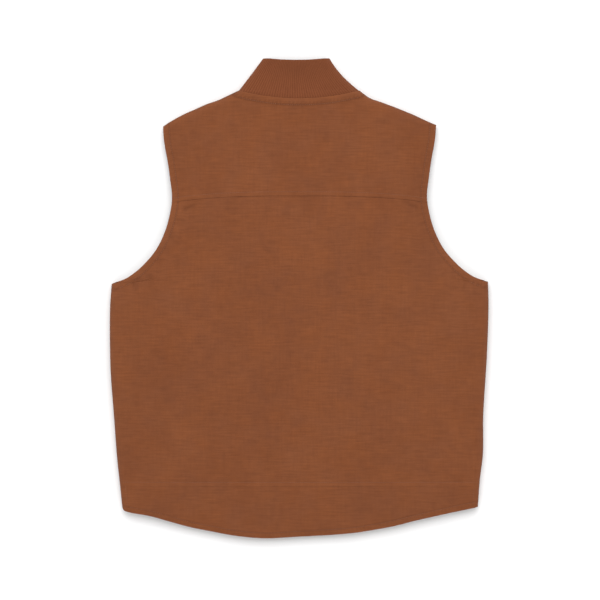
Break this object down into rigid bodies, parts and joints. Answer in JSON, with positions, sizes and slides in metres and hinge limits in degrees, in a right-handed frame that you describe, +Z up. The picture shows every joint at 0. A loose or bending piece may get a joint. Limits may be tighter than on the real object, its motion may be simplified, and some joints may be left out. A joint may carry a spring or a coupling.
{
  "type": "utility work vest",
  "caption": "Sleeveless work vest of brown duck canvas with a rib-knit stand collar, back yoke and curved drop tail, closed by a front zip and lying flat on its front.",
  "frame": {"origin": "the middle of the outline, on the surface that the vest lies on", "axes": "+Y towards the collar, +X across the back, +Z up from the surface"},
  "size_m": [0.611, 0.7751, 0.0443],
  "materials": {
    "duck_canvas": "brown duck canvas with cross ribs",
    "rib_knit": "brown rib knit, a little darker than the canvas",
    "zip": "brass teeth on brown tape"
  },
  "bodies": {
    "root": {"back_yoke": "duck_canvas", "back_panel": "duck_canvas", "back_tail": "duck_canvas", "front_panel_left": "duck_canvas", "front_panel_right": "duck_canvas", "collar": "rib_knit", "front_zip": "zip"}
  },
  "joints": []
}
